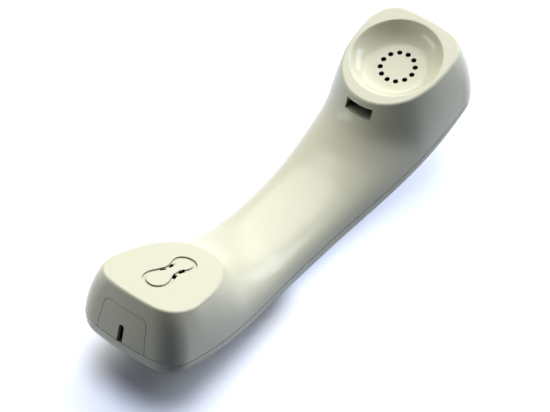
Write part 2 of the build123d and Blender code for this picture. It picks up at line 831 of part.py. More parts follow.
# Cord cover: the end panel with its cord slot, two legs and their catches
with BuildPart() as legs:
    for side in (-1, 1):
        y = side * leg_offset
        block(
            (-half_length, y - leg_thickness / 2, leg_bottom),
            (leg_tip, y + leg_thickness / 2, leg_bottom + leg_height))
        with BuildSketch(Plane.XY.offset(leg_bottom)):
            with Locations((leg_tip - 2, y + side * leg_thickness / 2)):
                Circle(leg_bump)
        extrude(amount=leg_height)
    add(mouth_end(cover_thickness - leg_root), mode=Mode.SUBTRACT)
with BuildPart() as cord_cover:
    add(front_outer)
    add(mouth_end(cover_thickness), mode=Mode.INTERSECT)
    extrude(
        Location((-half_length - 10, 0, 0)) * cover_outline(0), amount=tool_size, dir=(1, 0, 0),
        mode=Mode.INTERSECT)
    add(legs.part)
    with BuildSketch(Plane.YZ.offset(-half_length - 5)):
        foot = part_z(half_length)
        with Locations((0, foot + cord_slot_height - cord_slot_width / 2)):
            Circle(cord_slot_width / 2)
        with Locations((0, foot - 2)):
            Rectangle(
                cord_slot_width, cord_slot_height + 2 - cord_slot_width / 2,
                align=(Align.CENTER, Align.MIN))
    extrude(amount=14, mode=Mode.SUBTRACT)
cord_cover.part.label = "cord_cover"
export_step(cord_cover.part, "parts/cord_cover.step")

# Case screws, driven from the back
with BuildPart() as case_screws:
    for x in (-screw_x, screw_x):
        with Locations(Location((x, 0, seat_z - seat_gap))):
            Cylinder(
                screw_head_diameter / 2, screw_head_height, align=(Align.CENTER, Align.CENTER, Align.MAX))
            Cylinder(
                screw_diameter / 2, screw_length, align=(Align.CENTER, Align.CENTER, Align.MIN))
        with BuildSketch(Plane.XY.offset(seat_z - seat_gap - screw_head_height)):
            with Locations((x, 0)):
                Rectangle(drive_length, drive_width)
                Rectangle(drive_width, drive_length)
        extrude(amount=drive_depth, mode=Mode.SUBTRACT)
    heads = case_screws.edges().filter_by(GeomType.CIRCLE).group_by(Axis.Z)
    fillet(heads[0], screw_head_height / 3)
    chamfer(case_screws.edges().filter_by(GeomType.CIRCLE).group_by(Axis.Z)[-1], screw_point)
case_screws.part.label = "case_screws"
export_step(case_screws.part, "parts/case_screws.step")

# Steel weight with holes for the two posts
with BuildPart() as handset_weight:
    with BuildSketch(Plane.XY.offset(weight_low)):
        with Locations((weight_shift, 0)):
            RectangleRounded(weight_length, weight_width, weight_corner_radius)
            with Locations((-post_spacing / 2, 0), (post_spacing / 2, 0)):
                Circle(post_diameter / 2 + post_clearance, mode=Mode.SUBTRACT)
    extrude(amount=weight_height)
    rims = handset_weight.faces().filter_by(Axis.Z)
    chamfer(
        [rim.outer_wire().edges() for rim in rims][0] + [rim.outer_wire().edges() for rim in rims][1],
        0.4)
handset_weight.part.label = "handset_weight"
export_step(handset_weight.part, "parts/handset_weight.step")

# Cloth over the ear holes
with BuildPart() as receiver_dust_cloth:
    with BuildSketch(ear_plane.offset(cloth_low)):
        Circle(gasket_inner_radius - fit_gap)
    extrude(amount=cloth_thickness - seat_gap / 2)
receiver_dust_cloth.part.label = "receiver_dust_cloth"
export_step(receiver_dust_cloth.part, "parts/receiver_dust_cloth.step")

# Rubber ring between the dish and the receiver
with BuildPart() as receiver_gasket:
    with BuildSketch(ear_plane.offset(gasket_low)):
        Circle(capsule_radius - 0.4)
        Circle(gasket_inner_radius, mode=Mode.SUBTRACT)
    extrude(amount=gasket_thickness - seat_gap / 2)
receiver_gasket.part.label = "receiver_gasket"
export_step(receiver_gasket.part, "parts/receiver_gasket.step")

# Perforated front cap of the receiver
with BuildPart() as receiver_front_cap:
    with BuildSketch(ear_section):
        band(0, capsule_radius, cap_low, gasket_low - seat_gap / 2)
        band(cap_inner_radius, capsule_radius, skirt_low + seat_gap / 2, cap_low)
    revolve(axis=ear_axis)
    with BuildSketch(ear_plane.offset(gasket_low)):
        Circle(cap_hole_diameter / 2)
        for ring_radius, count in cap_hole_rings:
            with PolarLocations(ring_radius, count):
                Circle(cap_hole_diameter / 2)
    extrude(amount=-cap_thickness, mode=Mode.SUBTRACT)
receiver_front_cap.part.label = "receiver_front_cap"
export_step(receiver_front_cap.part, "parts/receiver_front_cap.step")

# Thin diaphragm with its centre dome
with BuildPart() as receiver_diaphragm:
    dome = dome_radius ** 2 / (2 * dome_rise) + dome_rise / 2
    side_rise = sqrt(dome ** 2 - dome_radius ** 2 / 4) - (dome - dome_rise)
    with BuildSketch(ear_section):
        with BuildLine():
            low = diaphragm_low
            under = ThreePointArc(
                (dome_radius, low), (dome_radius / 2, low + side_rise), (0, low + dome_rise))
            top = low + diaphragm_thickness
            over = ThreePointArc((0, top + dome_rise), (dome_radius / 2, top + side_rise), (dome_radius, top))
            Line(under @ 1, over @ 0)
            Polyline(over @ 1, (diaphragm_radius, top), (diaphragm_radius, low), under @ 0)
        make_face()
    revolve(axis=ear_axis)
receiver_diaphragm.part.label = "receiver_diaphragm"
export_step(receiver_diaphragm.part, "parts/receiver_diaphragm.step")

# Voice coil under the diaphragm
with BuildPart() as voice_coil:
    with BuildSketch(ear_section):
        band(
            coil_radius - coil_thickness / 2, coil_radius + coil_thickness / 2,
            diaphragm_low - coil_length, diaphragm_low)
    revolve(axis=ear_axis)
voice_coil.part.label = "voice_coil"
export_step(voice_coil.part, "parts/voice_coil.step")

# Plastic frame that carries the magnet and the diaphragm's rim
with BuildPart() as receiver_frame:
    with BuildSketch(ear_section):
        band(cap_inner_radius, capsule_radius, frame_low, skirt_low)
        band(cap_inner_radius - frame_ledge_width, cap_inner_radius, frame_low, ledge_level)
        band(yoke_radius + yoke_gap, cap_inner_radius, frame_low, frame_low + frame_floor)
        band(
            yoke_radius + yoke_gap, yoke_radius + yoke_gap + frame_tube_wall,
            frame_low, pole_top - diaphragm_travel)
    revolve(axis=ear_axis)
    with BuildSketch(ear_plane.offset(frame_low)):
        with PolarLocations(vent_ring_radius, vent_count, start_angle=terminal_turn):
            Circle(vent_diameter / 2)
    extrude(amount=frame_floor, mode=Mode.SUBTRACT)
receiver_frame.part.label = "receiver_frame"
export_step(receiver_frame.part, "parts/receiver_frame.step")

# Steel yoke, magnet and pole plate
with BuildPart() as receiver_yoke:
    with BuildSketch(ear_section):
        band(0, yoke_radius, yoke_low, yoke_floor)
        band(yoke_bore_radius, yoke_radius, yoke_floor, pole_top)
    revolve(axis=ear_axis)
receiver_yoke.part.label = "receiver_yoke"
export_step(receiver_yoke.part, "parts/receiver_yoke.step")

with BuildPart() as receiver_magnet:
    with BuildSketch(ear_plane.offset(yoke_floor)):
        Circle(magnet_radius)
    extrude(amount=magnet_thickness)
receiver_magnet.part.label = "receiver_magnet"
export_step(receiver_magnet.part, "parts/receiver_magnet.step")

with BuildPart() as receiver_pole_plate:
    with BuildSketch(ear_plane.offset(magnet_top)):
        Circle(pole_radius)
    extrude(amount=pole_thickness)
receiver_pole_plate.part.label = "receiver_pole_plate"
export_step(receiver_pole_plate.part, "parts/receiver_pole_plate.step")

# Terminal board and varistor on the receiver's back
with BuildPart() as receiver_terminals:
    with BuildSketch(ear_plane.offset(terminal_low)):
        with Locations((terminal_offset, 0)):
            RectangleRounded(terminal_size[0], terminal_size[1], 0.8)
    extrude(amount=terminal_size[2] - seat_gap / 2)
receiver_terminals.part.label = "receiver_terminals"
export_step(receiver_terminals.part, "parts/receiver_terminals.step")

with BuildPart() as varistor:
    with BuildSketch(ear_plane.offset(terminal_low - varistor_thickness)):
        with Locations((terminal_offset, 0)):
            Circle(varistor_diameter / 2)
    extrude(amount=varistor_thickness - seat_gap / 2)
    fillet(varistor.edges(), 0.3)
varistor.part.label = "varistor"
export_step(varistor.part, "parts/varistor.step")

# Foam pad between the receiver and the rear shell's post
with BuildPart() as receiver_foam_pad:
    with BuildSketch(ear_plane.offset(foam_low)):
        Circle(foam_radius)
    extrude(amount=foam_thickness - seat_gap / 2)
receiver_foam_pad.part.label = "receiver_foam_pad"
export_step(receiver_foam_pad.part, "parts/receiver_foam_pad.step")

# Microphone: dust cloth, rubber boot, felt, capsule and its board
with BuildPart() as mic_dust_cloth:
    with BuildSketch(mouth_plane.offset(boot_top)):
        Circle(boot_radius - 0.6)
    extrude(amount=cloth_thickness - seat_gap / 2)
mic_dust_cloth.part.label = "mic_dust_cloth"
export_step(mic_dust_cloth.part, "parts/mic_dust_cloth.step")

with BuildPart() as mic_boot:
    with BuildSketch(mouth_section):
        band(boot_window / 2, boot_radius, window_low, boot_top - seat_gap / 2)
        band(mic_diameter / 2 + seat_gap / 2, boot_radius, mic_low, window_low)
        band(mic_diameter / 2 - boot_overlap, boot_radius, boot_low, mic_low - seat_gap / 2)
        band(mic_diameter / 2 + seat_gap / 2, boot_radius, mic_low - seat_gap / 2, mic_low)
    revolve(axis=mouth_axis)
mic_boot.part.label = "mic_boot"
export_step(mic_boot.part, "parts/mic_boot.step")

with BuildPart() as mic_felt:
    with BuildSketch(mouth_plane.offset(window_low)):
        Circle(boot_window / 2 - fit_gap)
    extrude(amount=felt_thickness)
mic_felt.part.label = "mic_felt"
export_step(mic_felt.part, "parts/mic_felt.step")

with BuildPart() as mic_capsule:
    with BuildSketch(mouth_plane.offset(mic_low)):
        Circle(mic_diameter / 2)
    extrude(amount=mic_height - seat_gap / 2)
    fillet(mic_capsule.edges(), mic_rim)
    with BuildSketch(mouth_plane.offset(window_low)):
        Circle(mic_hole_diameter / 2)
    extrude(amount=-mic_rim, mode=Mode.SUBTRACT)
mic_capsule.part.label = "mic_capsule"
export_step(mic_capsule.part, "parts/mic_capsule.step")

with BuildPart() as mic_terminal_board:
    with BuildSketch(mouth_plane.offset(mic_low - mic_board_thickness)):
        Circle(mic_board_diameter / 2)
    extrude(amount=mic_board_thickness - seat_gap / 2)
mic_terminal_board.part.label = "mic_terminal_board"
export_step(mic_terminal_board.part, "parts/mic_terminal_board.step")

# Cord socket: housing with a plug cavity, a latch slot and grooves for its contacts
groove_low = plug_bottom - contact_diameter - contact_clearance
contact_z = plug_bottom - contact_diameter / 2 - contact_clearance / 2
with BuildPart() as cord_socket:
    block(
        (socket_front, -socket_width / 2, socket_bottom), (socket_back, socket_width / 2, socket_top))
    block(
        (socket_back - socket_flange_thickness, -socket_flange_width / 2, socket_bottom),
        (socket_back, socket_flange_width / 2, socket_top))
    block(
        (socket_front, -plug_width / 2, plug_bottom),
        (socket_front + plug_depth, plug_width / 2, plug_bottom + plug_height), mode=Mode.SUBTRACT)
    block(
        (socket_front, -latch_width / 2, plug_bottom + plug_height),
        (socket_front + plug_depth, latch_width / 2, plug_bottom + plug_height + latch_height),
        mode=Mode.SUBTRACT)
    for k in range(contact_count):
        y = (k - (contact_count - 1) / 2) * contact_pitch
        half = contact_diameter / 2 + contact_clearance
        block(
            (socket_front + 0.8, y - half, groove_low), (socket_back, y + half, plug_bottom),
            mode=Mode.SUBTRACT)
cord_socket.part.label = "cord_socket"
export_step(cord_socket.part, "parts/cord_socket.step")

# Spring contacts of the socket
with BuildPart() as socket_contacts:
    for k in range(contact_count):
        y = (k - (contact_count - 1) / 2) * contact_pitch
        with BuildLine(Plane.XZ.offset(-y)) as wire:
            FilletPolyline(
                (socket_back - 0.3, contact_z), (socket_front + 1.4, contact_z),
                (socket_front + plug_depth - 2.5, contact_z + contact_rise), radius=contact_bend)
        with BuildSketch(Plane(origin=wire.line @ 0, z_dir=wire.line % 0)):
            Circle(contact_diameter / 2)
        sweep(path=wire.line)
socket_contacts.part.label = "socket_contacts"
export_step(socket_contacts.part, "parts/socket_contacts.step")


def twin_lead(start, places, bend):
    """Two insulated wires side by side, joined by a web, along a path in an upright plane."""
    with BuildPart() as lead:
        with BuildLine(Plane.XZ.offset(-start)) as route:
            FilletPolyline(*places, radius=bend)
        with BuildSketch(Plane(origin=route.line @ 0, x_dir=(0, 1, 0), z_dir=route.line % 0)):
            with Locations((-lead_spacing / 2, 0), (lead_spacing / 2, 0)):
                Circle(lead_diameter / 2)
            Rectangle(lead_spacing, lead_web)
        sweep(path=route.line)
    return lead.part


# Lead from the socket along the handle to the receiver
board = ear_plane.origin + ear_plane.x_dir * terminal_offset + ear_plane.z_dir * (terminal_low - seat_gap)
turn = board - ear_plane.z_dir * lead_end_length
with BuildPart() as receiver_lead:
    add(twin_lead(lead_y, [
        (socket_back + seat_gap, socket_bottom + lead_socket_height),
        (lead_turn_x, socket_bottom + lead_socket_height), (lead_drop_x, lead_run_z),
        (lead_rise_x, lead_run_z), (turn.X, turn.Z), (board.X, board.Z)], lead_bend))
receiver_lead.part.label = "receiver_lead"
export_step(receiver_lead.part, "parts/receiver_lead.step")

# Lead from the socket to the microphone
pad = mouth_plane.origin + mouth_plane.z_dir * (mic_low - mic_board_thickness - seat_gap)
pad_turn = pad - mouth_plane.z_dir * mic_lead_end
with BuildPart() as mic_lead:
    add(twin_lead(mic_lead_y, [
        (socket_back + seat_gap, pad_turn.Z), (pad_turn.X, pad_turn.Z), (pad.X, pad.Z)], mic_lead_bend))
mic_lead.part.label = "mic_lead"
export_step(mic_lead.part, "parts/mic_lead.step")
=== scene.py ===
import math

import bmesh
import bpy
from bpy.props import FloatProperty, FloatVectorProperty, PointerProperty
from mathutils import Matrix, Vector


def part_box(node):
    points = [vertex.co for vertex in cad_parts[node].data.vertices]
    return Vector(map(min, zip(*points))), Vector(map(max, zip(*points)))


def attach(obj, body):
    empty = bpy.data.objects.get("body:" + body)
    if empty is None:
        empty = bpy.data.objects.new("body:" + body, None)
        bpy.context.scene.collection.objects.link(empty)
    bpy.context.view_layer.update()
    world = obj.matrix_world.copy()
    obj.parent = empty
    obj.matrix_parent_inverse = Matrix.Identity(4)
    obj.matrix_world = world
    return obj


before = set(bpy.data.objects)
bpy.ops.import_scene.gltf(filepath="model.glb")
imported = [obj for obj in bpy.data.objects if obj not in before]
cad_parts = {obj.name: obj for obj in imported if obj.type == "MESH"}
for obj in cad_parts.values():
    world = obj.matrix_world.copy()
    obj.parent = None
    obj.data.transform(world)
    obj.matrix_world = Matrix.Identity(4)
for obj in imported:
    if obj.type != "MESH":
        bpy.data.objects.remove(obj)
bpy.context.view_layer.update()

bl_info = {
    "name": "Telephone handset",
    "version": (1, 0, 0),
    "blender": (4, 5, 0),
    "location": "3D View > Sidebar > Handset",
    "description": "Finishes, inner details and a plain studio for a corded telephone handset",
    "category": "Object",
}

MM = 0.001

# The receiver sits on the ear axis and the microphone on the mouth axis. Each is given by the
# point where it crosses the face and by its tilt from upright, as the solids have them.
EAR_POINT = Vector((75.4, 0.0, 43.5)) * MM
EAR_TILT = math.radians(-12.1)
DISH_RADIUS = 19.6 * MM
MOUTH_POINT = Vector((-69.6, 0.0, 43.5)) * MM
MOUTH_TILT = math.radians(19.2)

# Where each lead's two wires end on its board: along the head from its axis, across the handle
# and up from the face
RECEIVER_PADS = Vector((12.0, -5.2, -12.82)) * MM
MIC_PADS = Vector((0.0, 2.4, -11.02)) * MM
WIRE_SPACING = 1.3 * MM

# The receiver's lead as it lies on the weight, and the tape that crosses it there
LEAD_Y = -5.2 * MM
LEAD_TOP = 12.0 * MM
TAPE_X = -15.0 * MM
TAPE_LIFT = 0.04 * MM
TAPE_FACES = 8

# A solder joint from its skirt to its tip, as shares of its radius and height
SOLDER_PROFILE = ((1.0, 0.0), (0.97, 0.07), (0.78, 0.22), (0.56, 0.45), (0.42, 0.72), (0.3, 0.92),
                  (0.12, 1.0))

# Stretches of a noise texture's values: the middle, most of them, and all but the rare peaks
NOISE_MIDDLE = {"From Min": 0.35, "From Max": 0.65}
NOISE_MOST = {"From Min": 0.3, "From Max": 0.7}
NOISE_WIDE = {"From Min": 0.2, "From Max": 0.8}

# A wave texture of scale 1 repeats after this much of its own space
WAVE_REPEAT = 2 * math.pi / 20
# Directions of the bands in each banded relief. A weave is its warp times its weft.
BANDS = {"weave": "XY", "turns": "Z"}

# How free of its surroundings a spot is, from 0 shut in to 1 open: first where the painted shade,
# and the dust in the grooves, is thickest, then where it ends
GROOVE_SHADE_FREEDOM = {"From Min": 0.35, "From Max": 0.85}
HOLE_SHADE_FREEDOM = {"From Min": 0.28, "From Max": 0.58}
# Most that the grooves are darkened, by dust and painted shade
MOST_GROOVE_SHADE = 0.2
FREEDOM_RAYS = 8

# Patches that fingers leave, and how far they take the roughness down and up
HANDLED_SIZE = 22.0 * MM
HANDLED_DOWN = 0.02
HANDLED_UP = 0.03
# Half the width of the line where the dish's polish ends
POLISH_EDGE = 0.2 * MM
# Sink marks of a moulded wall
SINK_SIZE = 18.0 * MM
SINK_DEPTH = 0.05 * MM
ABS_IOR = 1.53
ABS_SPECULAR = 0.35

# The floor lies just below the handset, with the stipple of its paint
FLOOR_DROP = 0.05 * MM
FLOOR_CELLS = 8
STIPPLE_SIZE = 2.0 * MM
STIPPLE_DEPTH = 0.01 * MM
# Where the floor's painted glow doesn't cover the real shadow: a box by its middle and half
# sides, how far outside it the painted glow begins and is full, and how strong it is there. A
# faint bluish painted glow lies in the box too.
SHADOW_MIDDLE = Vector((-62.0, 0.0, 0.0)) * MM
SHADOW_HALF = Vector((25.0, 9.0, 0.0)) * MM
PAINTED_WASH = {"From Min": 8 * MM, "From Max": 26 * MM, "To Min": 0.03, "To Max": 0.66}
PAINTED_WASH_COLOUR = "#D8E4FF"

# Each softbox: its name, place, aim, width and height in metres, the setting that holds its
# power, and its tint
SOFTBOXES = (
    ("softbox_behind", (1.55, 1.0, 2.4), (0.0, 0.0, 0.03), (3.2, 3.2), "key_power",
     (1.0, 0.985, 0.97)),
    ("softbox_left", (-0.95, 1.12, 0.3), (0.0, 0.0, 0.03), (1.0, 0.5), "left_power",
     (0.9, 0.94, 1.0)),
    ("softbox_right", (0.62, -0.34, 0.38), (0.07, 0.0, 0.03), (0.5, 0.4), "right_power",
     (0.8, 0.86, 1.0)))

# What the camera looks at, the width of its sensor, and how near and far it sees
CAMERA_TARGET = Vector((-30.291, -19.306, 60.355)) * MM
SENSOR_WIDTH = 36.0
CAMERA_NEAR = 0.05
CAMERA_FAR = 20.0


def linear(code):
    """Linear red, green and blue of an sRGB hex code."""
    parts = [int(code[i:i + 2], 16) / 255 for i in (1, 3, 5)]
    return tuple(c / 12.92 if c <= 0.04045 else ((c + 0.055) / 1.055) ** 2.4 for c in parts)


def opaque(colour):
    """A node socket's four numbers from a colour's three."""
    return (*colour, 1.0)


def per_metre(size):
    """A texture's scale for features of this size, both in metres."""
    return 1 / size


def axis_frame(point, tilt):
    """Place of a capsule: its axis is Z, turned by tilt about Y."""
    return Matrix.Translation(point) @ Matrix.Rotation(tilt, 4, "Y")


# Materials

def node(tree, kind, sockets=None, **settings):
    """Adds a node. sockets gives inputs, by name or number, a value or another node's output."""
    made = tree.nodes.new(kind)
    for name, value in settings.items():
        setattr(made, name, value)
    for key, value in (sockets or {}).items():
        if isinstance(value, bpy.types.NodeSocket):
            tree.links.new(value, made.inputs[key])
        else:
            made.inputs[key].default_value = value
    return made


def empty_material(name):
    """A new material with no nodes."""
    made = bpy.data.materials.new(name)
    made.use_nodes = True
    made.node_tree.nodes.clear()
    return made


def relief(tree, pattern, place, size, stretch):
    """The height pattern of a surface, from 0 to 1. size is the width of a grain or a cell, or
    the distance from one thread or turn to the next."""
    moved = node(tree, "ShaderNodeMapping", {"Vector": place, "Scale": stretch})
    spot = moved.outputs["Vector"]
    if pattern in BANDS:
        bands = [node(tree, "ShaderNodeTexWave",
                      {"Vector": spot, "Scale": WAVE_REPEAT * per_metre(size)},
                      wave_type="BANDS", bands_direction=way, wave_profile="SIN").outputs["Fac"]
                 for way in BANDS[pattern]]
        if len(bands) == 1:
            return bands[0]
        return node(tree, "ShaderNodeMath", {0: bands[0], 1: bands[1]},
                    operation="MULTIPLY").outputs[0]
    if pattern == "cells":
        return node(tree, "ShaderNodeTexVoronoi", {"Vector": spot, "Scale": per_metre(size)},
                    feature="F1").outputs["Distance"]
    return node(tree, "ShaderNodeTexNoise", {
        "Vector": spot, "Scale": per_metre(size), "Detail": 3.0, "Roughness": 0.6}).outputs["Fac"]


def surface(name, tones, patch, grain, depth, rough, spread, pattern="grain", stretch=(1, 1, 1),
            shade=0.0, **sockets):
    """A material of two close tones in soft patches, with the relief of its making and an uneven
    gloss.

    tones are the two colours; patch, grain and depth are the sizes of the patches, of the relief
    and of its height in millimetres; rough is the mean roughness and spread how far it varies;
    shade is how much darker the relief's hollows are; sockets are the shader's own constants."""
    made = empty_material(name)
    tree = made.node_tree
    place = node(tree, "ShaderNodeTexCoord").outputs["Object"]
    patches = node(tree, "ShaderNodeTexNoise", {
        "Vector": place, "Scale": per_metre(patch * MM), "Detail": 3.0})
    share = node(tree, "ShaderNodeMapRange", {"Value": patches.outputs["Fac"], **NOISE_MIDDLE})
    # A mix node holds its numbers first, so its colours are the inputs 6 and 7 and the output 2
    tone = node(tree, "ShaderNodeMix", {
        "Factor": share.outputs["Result"], 6: opaque(linear(tones[0])),
        7: opaque(linear(tones[1]))}, data_type="RGBA")
    height = relief(tree, pattern, place, grain * MM, stretch)
    hollow = node(tree, "ShaderNodeMapRange", {
        "Value": height, "To Min": 1 - shade, "To Max": 1.0})
    shaded = node(tree, "ShaderNodeVectorMath", {
        0: tone.outputs[2], 1: hollow.outputs["Result"]}, operation="MULTIPLY")
    gloss = node(tree, "ShaderNodeMapRange", {
        "Value": patches.outputs["Fac"], **NOISE_MOST, "To Min": rough - spread,
        "To Max": rough + spread})
    bump = node(tree, "ShaderNodeBump", {
        "Height": height, "Strength": 1.0, "Distance": depth * MM})
    shader = node(tree, "ShaderNodeBsdfPrincipled", {
        "Base Color": shaded.outputs["Vector"], "Roughness": gloss.outputs["Result"],
        "Normal": bump.outputs["Normal"]})
    for socket, value in sockets.items():
        shader.inputs[socket.replace("_", " ")].default_value = value
    node(tree, "ShaderNodeOutputMaterial", {"Surface": shader.outputs["BSDF"]})
    return made


def moulded_abs(finish):
    """ABS moulded in a finely sparked tool: an even ivory with a soft gloss that handling has
    clouded, a polished dish, dust and painted shade in its narrow grooves and near-black painted
    shade down its holes and slots."""
    made = empty_material("moulded_abs_ivory")
    tree = made.node_tree
    place = node(tree, "ShaderNodeTexCoord").outputs["Object"]

    # Slow drift of tone over the moulding, as the pigment and the years leave it
    drift = node(tree, "ShaderNodeTexNoise", {
        "Vector": place, "Scale": per_metre(finish.drift_size), "Detail": 2.0})
    share = node(tree, "ShaderNodeMapRange", {"Value": drift.outputs["Fac"], **NOISE_WIDE})
    body = node(tree, "ShaderNodeMix", {
        "Factor": share.outputs["Result"], 6: opaque(finish.ivory), 7: opaque(finish.aged)},
        data_type="RGBA")

    # Dust and painted shade: a dust colour mixed in where the groove and the parting line are
    # shut in, darkest where they are most shut in
    crevice = node(tree, "ShaderNodeAmbientOcclusion", {"Distance": finish.groove_shade_reach},
                   samples=FREEDOM_RAYS)
    groove_shade_share = node(tree, "ShaderNodeMapRange", {
        "Value": crevice.outputs["AO"], **GROOVE_SHADE_FREEDOM, "To Min": MOST_GROOVE_SHADE, "To Max": 0.0})
    groove_shaded = node(tree, "ShaderNodeMix", {
        "Factor": groove_shade_share.outputs["Result"], 6: body.outputs[2], 7: opaque(finish.groove_dust_and_shade)},
        data_type="RGBA")

    # Painted shade down the holes and slots: a near-black colour mixed in where they are deep and
    # shut in
    pit = node(tree, "ShaderNodeAmbientOcclusion", {"Distance": finish.hole_shade_reach},
               samples=FREEDOM_RAYS)
    hole_shade_share = node(tree, "ShaderNodeMapRange", {
        "Value": pit.outputs["AO"], **HOLE_SHADE_FREEDOM, "To Min": 1.0, "To Max": 0.0})
    hole_shaded = node(tree, "ShaderNodeMix", {
        "Factor": hole_shade_share.outputs["Result"], 6: groove_shaded.outputs[2], 7: opaque(finish.hole_shade)},
        data_type="RGBA")

    # Gloss: clouded by handling, in patches of about a fingertip
    handled = node(tree, "ShaderNodeTexNoise", {
        "Vector": place, "Scale": per_metre(HANDLED_SIZE), "Detail": 1.0})
    gloss = node(tree, "ShaderNodeMapRange", {
        "Value": handled.outputs["Fac"], **NOISE_WIDE, "To Min": finish.roughness - HANDLED_DOWN,
        "To Max": finish.roughness + HANDLED_UP})

    # The dish is polished in the tool, so it is evenly glossy, as far as its rim. The distance
    # from the ear axis is taken in that axis's own frame.
    ear = axis_frame(EAR_POINT, EAR_TILT).inverted()
    in_ear = node(tree, "ShaderNodeMapping", {
        "Vector": place, "Location": ear.to_translation(), "Rotation": ear.to_euler()})
    flat = node(tree, "ShaderNodeVectorMath", {
        0: in_ear.outputs["Vector"], 1: (1.0, 1.0, 0.0)}, operation="MULTIPLY")
    from_axis = node(tree, "ShaderNodeVectorMath", {0: flat.outputs["Vector"]},
                     operation="LENGTH")
    polish = node(tree, "ShaderNodeMapRange", {
        "Value": from_axis.outputs["Value"], "From Min": DISH_RADIUS - POLISH_EDGE,
        "From Max": DISH_RADIUS + POLISH_EDGE})
    # Of a mix node's numbers, the inputs are 2 and 3 and the output is 0
    satin = node(tree, "ShaderNodeMix", {
        "Factor": polish.outputs["Result"], 2: finish.polished, 3: gloss.outputs["Result"]},
        data_type="FLOAT")

    # Relief: the tool's fine sparked grain over the slight sink of the walls
    spark = node(tree, "ShaderNodeTexNoise", {
        "Vector": place, "Scale": per_metre(finish.grain_size), "Detail": 2.0})
    sink = node(tree, "ShaderNodeTexNoise", {
        "Vector": place, "Scale": per_metre(SINK_SIZE), "Detail": 1.0})
    slow = node(tree, "ShaderNodeBump", {
        "Height": sink.outputs["Fac"], "Strength": 1.0, "Distance": SINK_DEPTH})
    fine = node(tree, "ShaderNodeBump", {
        "Height": spark.outputs["Fac"], "Strength": 1.0, "Distance": finish.grain_depth,
        "Normal": slow.outputs["Normal"]})
    shader = node(tree, "ShaderNodeBsdfPrincipled", {
        "Base Color": hole_shaded.outputs[2], "Roughness": satin.outputs[0], "IOR": ABS_IOR,
        "Specular IOR Level": ABS_SPECULAR, "Normal": fine.outputs["Normal"]})
    node(tree, "ShaderNodeOutputMaterial", {"Surface": shader.outputs["BSDF"]})
    return made


def dress(material, *names):
    """Gives CAD nodes a material."""
    for name in names:
        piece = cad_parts[name]
        if not piece.material_slots:
            piece.data.materials.append(material)
        for slot in piece.material_slots:
            slot.material = material


# Small pieces

def mesh_piece(name, mesh, material, body):
    """Makes an object of a finished bmesh, smooth, with its material, slot and body."""
    data = bpy.data.meshes.new(name)
    mesh.to_mesh(data)
    mesh.free()
    for face in data.polygons:
        face.use_smooth = True
    piece = bpy.data.objects.new(name, data)
    bpy.context.scene.collection.objects.link(piece)
    data.materials.append(material)
    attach(piece, body)
    return piece


def fillet_of_solder(mesh, matrix, radius, height, steps=20):
    """Turns one solder joint: a skirt on the board that climbs its wire in a hollow curve."""
    rings = []
    for wide, high in SOLDER_PROFILE:
        r, z = radius * wide, height * high
        rings.append([mesh.verts.new(matrix @ Vector((r * math.cos(a), r * math.sin(a), z)))
                      for a in (2 * math.pi * i / steps for i in range(steps))])
    for lower, upper in zip(rings, rings[1:]):
        for i in range(steps):
            j = (i + 1) % steps
            mesh.faces.new((lower[i], lower[j], upper[j], upper[i]))
    mesh.faces.new(list(reversed(rings[0])))
    mesh.faces.new(rings[-1])


def solder_joints(name, point, tilt, pads, solder, sizes):
    """Makes the two joints of one lead, on the underside of the board of the head at point."""
    mesh = bmesh.new()
    for side in (-WIRE_SPACING / 2, WIRE_SPACING / 2):
        place = (axis_frame(point, tilt) @ Matrix.Translation(pads + Vector((0.0, side, 0.0)))
                 @ Matrix.Rotation(math.pi, 4, "X"))
        fillet_of_solder(mesh, place, sizes.joint_radius, sizes.joint_height)
    mesh_piece(name, mesh, solder, "handset")


def tape_line():
    """The tape's line across the handle, as places in y and z."""
    low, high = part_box("handset_weight")
    top = high.z + TAPE_LIFT
    edge = low.y - TAPE_LIFT
    return (
        # Flat on the weight
        (1.5 * MM, top), (-1.5 * MM, top), (-3.2 * MM, top),
        # Up, over the lead and down again
        (LEAD_Y + 1.45 * MM, top + 0.35 * MM), (LEAD_Y + 1.05 * MM, LEAD_TOP),
        (LEAD_Y, LEAD_TOP + 0.05 * MM), (LEAD_Y - 1.05 * MM, LEAD_TOP),
        (LEAD_Y - 1.6 * MM, top + 0.7 * MM),
        # Round the weight's edge and down its side
        (edge + 0.35 * MM, top + 0.05 * MM), (edge, top - 0.3 * MM), (edge, top - 1.5 * MM),
        (edge, low.z + 1.6 * MM))


def lead_tape(material, sizes):
    """Makes the strip of tape that holds the lead down on the weight."""
    mesh = bmesh.new()
    rows = [[mesh.verts.new((TAPE_X + (i / TAPE_FACES - 0.5) * sizes.tape_width, y, z))
             for i in range(TAPE_FACES + 1)] for y, z in tape_line()]
    for a, b in zip(rows, rows[1:]):
        for i in range(TAPE_FACES):
            mesh.faces.new((a[i], a[i + 1], b[i + 1], b[i]))
    # Its faces look up, so that the thickness goes outward
    bmesh.ops.recalc_face_normals(mesh, faces=mesh.faces)
    if sum(face.normal.z for face in mesh.faces) < 0:
        bmesh.ops.reverse_faces(mesh, faces=mesh.faces)
    strip = mesh_piece("lead_tape", mesh, material, "handset")
    smooth = strip.modifiers.new("Pressed down", "SUBSURF")
    smooth.levels = smooth.render_levels = 2
    solid = strip.modifiers.new("Thickness", "SOLIDIFY")
    solid.thickness = sizes.tape_thickness
    solid.offset = 1.0


# Studio

def seen_directly(tree):
    """Share that is 1 for what the camera sees straight, in a reflection or through glass."""
    path = node(tree, "ShaderNodeLightPath")
    either = node(tree, "ShaderNodeMath", {
        0: path.outputs["Is Camera Ray"], 1: path.outputs["Is Glossy Ray"]}, operation="MAXIMUM")
    return node(tree, "ShaderNodeMath", {
        0: either.outputs[0], 1: path.outputs["Is Transmission Ray"]},
        operation="MAXIMUM").outputs[0]


